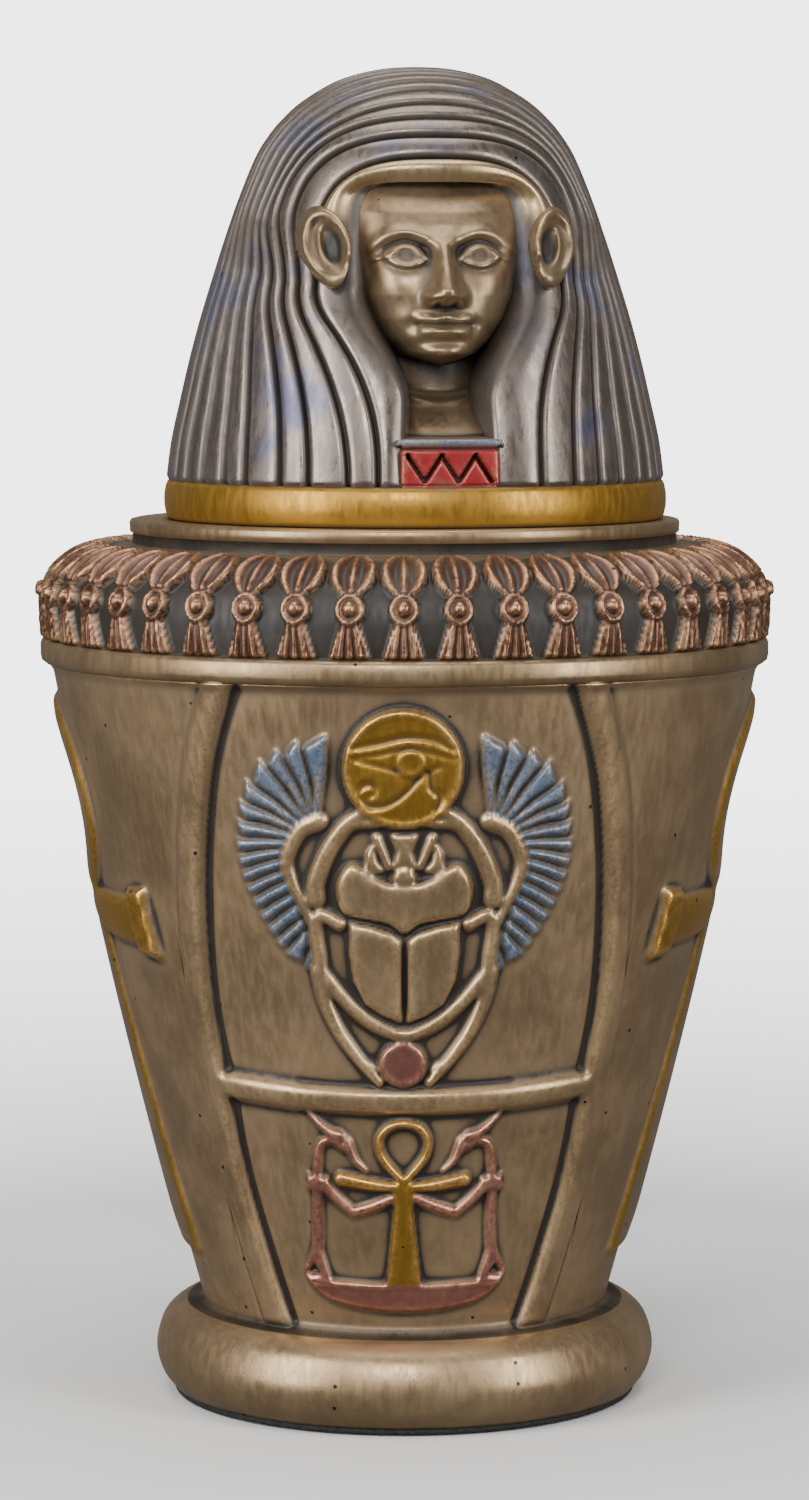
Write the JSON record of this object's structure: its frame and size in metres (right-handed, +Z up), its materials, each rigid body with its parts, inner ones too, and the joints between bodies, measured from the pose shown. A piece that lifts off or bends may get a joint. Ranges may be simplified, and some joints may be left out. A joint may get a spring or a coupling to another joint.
{
  "type": "canopic jar",
  "caption": "Souvenir canopic jar in bronze-finished resin, with a human-headed lid that lifts off, a lotus frieze, a winged scarab and ankhs in low relief",
  "frame": {"origin": "centre of the underside", "axes": "+Z up along the jar, -Y out of the front, which carries the winged scarab, and +X to the right for someone who faces that front"},
  "size_m": [0.1108, 0.1108, 0.2],
  "materials": {
    "bronze": "satin",
    "silvered_bronze": "satin",
    "felt": "matte"
  },
  "bodies": {
    "root": {"jar": "bronze", "lid": "silvered_bronze", "base_pad": "felt"}
  },
  "joints": []
}
